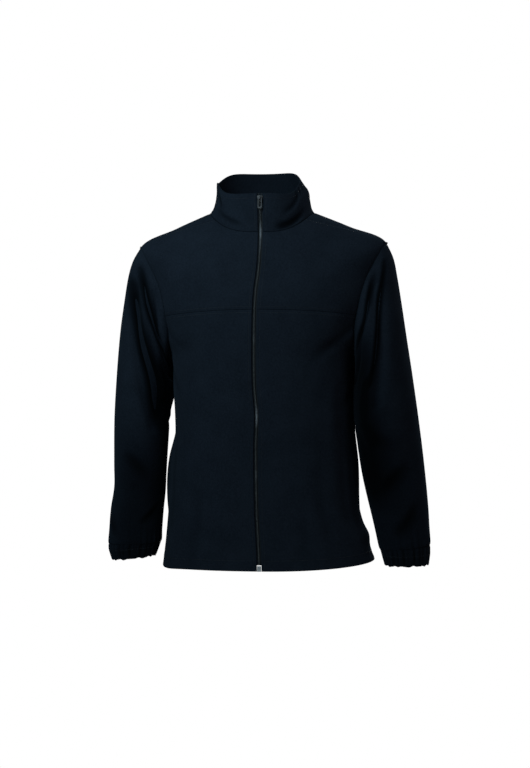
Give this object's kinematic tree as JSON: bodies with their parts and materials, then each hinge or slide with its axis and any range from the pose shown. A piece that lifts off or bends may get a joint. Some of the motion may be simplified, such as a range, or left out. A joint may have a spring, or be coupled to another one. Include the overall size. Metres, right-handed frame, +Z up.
{
  "type": "fleece zip jacket",
  "caption": "Full-zip fleece jacket, standing out as if worn, hollow, with stand collar, set-in sleeves, gathered cuffs, side pockets and a swinging zip pull.",
  "frame": {"origin": "midway between the two points where the neck seam crosses the top of the shoulders, where a wearer's or hanger's shoulders hold it", "axes": "+Z up, -Y the way the jacket faces, +X the wearer's left"},
  "size_m": [0.6179, 0.2702, 0.7677],
  "materials": {
    "fleece": "napped, matt",
    "zip_tape": "woven, matt",
    "zip_coil": "satin",
    "slider": "satin enamel",
    "box_metal": "bright"
  },
  "bodies": {
    "jacket": {"back": "fleece", "collar": "fleece", "cuff_left": "fleece", "cuff_right": "fleece", "front_left_lower": "fleece", "front_left_upper": "fleece", "front_right_lower": "fleece", "front_right_upper": "fleece", "pocket_left": "fleece", "pocket_right": "fleece", "sleeve_left": "fleece", "sleeve_right": "fleece", "zip_tape_left": "zip_tape", "zip_tape_right": "zip_tape", "zip_coil": "zip_coil", "zip_slider": "slider", "zip_box": "box_metal"},
    "pull_tab": {"zip_pull": "slider"}
  },
  "joints": [
    {"name": "pull_tab_swing", "type": "hinge", "parent": "jacket", "child": "pull_tab", "pos_m": [0.00229, -0.08922, 0.01803], "axis": [-1, 0, 0], "range_deg": [0, 165]}
  ]
}
